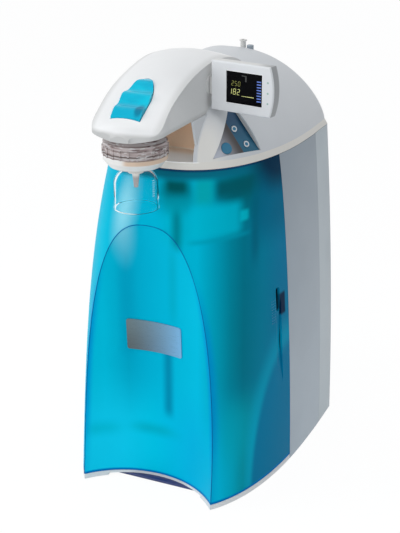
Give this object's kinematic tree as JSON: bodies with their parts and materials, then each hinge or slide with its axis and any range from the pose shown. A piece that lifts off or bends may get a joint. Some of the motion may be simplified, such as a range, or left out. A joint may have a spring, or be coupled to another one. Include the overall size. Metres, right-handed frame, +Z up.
{
  "type": "ultrapure water system",
  "caption": "Bench-top ultrapure water system: dished translucent front cover, domed white top, arched dispensing arm with final filter and glass bell, tilting display head beside it.",
  "frame": {"origin": "bottom centre of the whole object's bounding box, at table height", "axes": "+Z up, -Y towards the user, +X to the user's right; the display head stands on the +X side"},
  "size_m": [0.277, 0.3944, 0.5465],
  "materials": {
    "white_plastic": "satin moulded plastic",
    "head_plastic": "satin moulded plastic",
    "lever_plastic": "translucent",
    "blue_cover": "translucent, slightly frosted",
    "name_plate": "bare, satin",
    "dark_blue_plastic": "satin",
    "blue_plastic": "satin",
    "grey_plastic": "fine grained",
    "rear_grey_plastic": "fine grained",
    "steel": "brushed",
    "motor_steel": "black painted",
    "supply_aluminium": "mill finish",
    "pin_brass": "nickel over brass",
    "black_plastic": "satin",
    "connector_plastic": "natural polypropylene",
    "key_panel": "printed film, bare",
    "key_plastic": "satin",
    "clear_plastic": "clear moulded plastic",
    "filter_media": "white pleated membrane",
    "bell_glass": "clear",
    "screen_glass": "dark display glass",
    "light_plastic": "small indicator lights, off",
    "cartridge_plastic": "white moulded plastic",
    "foot_rubber": "matt",
    "board_green": "circuit board with parts",
    "tube_plastic": "natural polyethylene tube"
  },
  "bodies": {
    "base": {"base_tray": "white_plastic", "rubber_feet": "foot_rubber", "base_pan": "dark_blue_plastic", "rear_housing": "grey_plastic", "rear_cover": "rear_grey_plastic", "rear_screws": "steel", "power_inlet": "black_plastic", "inlet_pins": "pin_brass", "feed_connector": "connector_plastic", "drain_connector": "connector_plastic", "connector_nuts": "connector_plastic", "arm_shell": "white_plastic", "arm_underside": "white_plastic", "outlet_port": "connector_plastic", "lever_bracket": "steel", "lever_pin": "steel", "rim_band": "white_plastic", "top_cover": "white_plastic", "key_membrane": "key_panel", "vent_port": "connector_plastic", "relief_cap": "grey_plastic", "cartridge": "cartridge_plastic", "cartridge_cap": "blue_plastic", "cartridge_seat": "black_plastic", "lamp_tube": "steel", "lamp_caps": "black_plastic", "lamp_brackets": "steel", "pump_motor": "motor_steel", "pump_head": "black_plastic", "pump_saddle": "foot_rubber", "power_supply": "supply_aluminium", "board_standoffs": "pin_brass", "control_board": "board_green", "solenoid_valve": "connector_plastic", "valve_coil": "black_plastic", "conductivity_cell": "connector_plastic", "drain_valve": "connector_plastic", "dispense_switch": "black_plastic", "rear_tubes": "tube_plastic", "riser_tube": "tube_plastic", "bridge_tube": "tube_plastic", "lamp_outlet_tube": "tube_plastic", "valve_tube": "tube_plastic", "outlet_tube": "tube_plastic"},
    "cover": {"front_cover": "blue_cover", "name_plate": "name_plate", "cover_clips": "blue_cover"},
    "lever": {"dispense_lever": "lever_plastic"},
    "display_head": {"display_case": "head_plastic", "spigot_clip": "steel", "display_bezel": "head_plastic", "display_screen": "screen_glass", "display_lights": "light_plastic"},
    "select_button": {"select_key": "key_plastic"},
    "upper_button": {"upper_key": "key_plastic"},
    "lower_button": {"lower_key": "key_plastic"},
    "final_filter": {"filter_housing": "clear_plastic", "filter_stack": "filter_media", "filter_bowl": "white_plastic"},
    "dispensing_bell": {"bell": "bell_glass"}
  },
  "joints": [
    {"name": "cover_pull", "type": "slide", "parent": "base", "child": "cover", "axis": [0, -1, 0], "range_m": [0, 0.005]},
    {"name": "lever_press", "type": "hinge", "parent": "base", "child": "lever", "pos_m": [0, -0.12875, 0.516], "axis": [1, 0, 0], "range_deg": [0, 6], "stiffness_Nm_per_rad": 0.4, "springref_deg": -6.88},
    {"name": "head_tilt", "type": "hinge", "parent": "base", "child": "display_head", "pos_m": [0.046, -0.04975, 0.513], "axis": [0.9848, -0.1736, 0], "range_deg": [-30, 5]},
    {"name": "select_press", "type": "slide", "parent": "base", "child": "select_button", "axis": [-0.7386, 0.4568, -0.4958], "range_m": [0, 0.0006], "stiffness_N_per_m": 600, "springref_m": -0.0005},
    {"name": "upper_press", "type": "slide", "parent": "base", "child": "upper_button", "axis": [-0.7386, 0.4568, -0.4958], "range_m": [0, 0.0006], "stiffness_N_per_m": 600, "springref_m": -0.0005},
    {"name": "lower_press", "type": "slide", "parent": "base", "child": "lower_button", "axis": [-0.7386, 0.4568, -0.4958], "range_m": [0, 0.0006], "stiffness_N_per_m": 600, "springref_m": -0.0005},
    {"name": "filter_pull", "type": "slide", "parent": "base", "child": "final_filter", "axis": [0, 0, -1], "range_m": [0, 0.005]},
    {"name": "bell_pull", "type": "slide", "parent": "final_filter", "child": "dispensing_bell", "axis": [0, 0, -1], "range_m": [0, 0.004]}
  ]
}
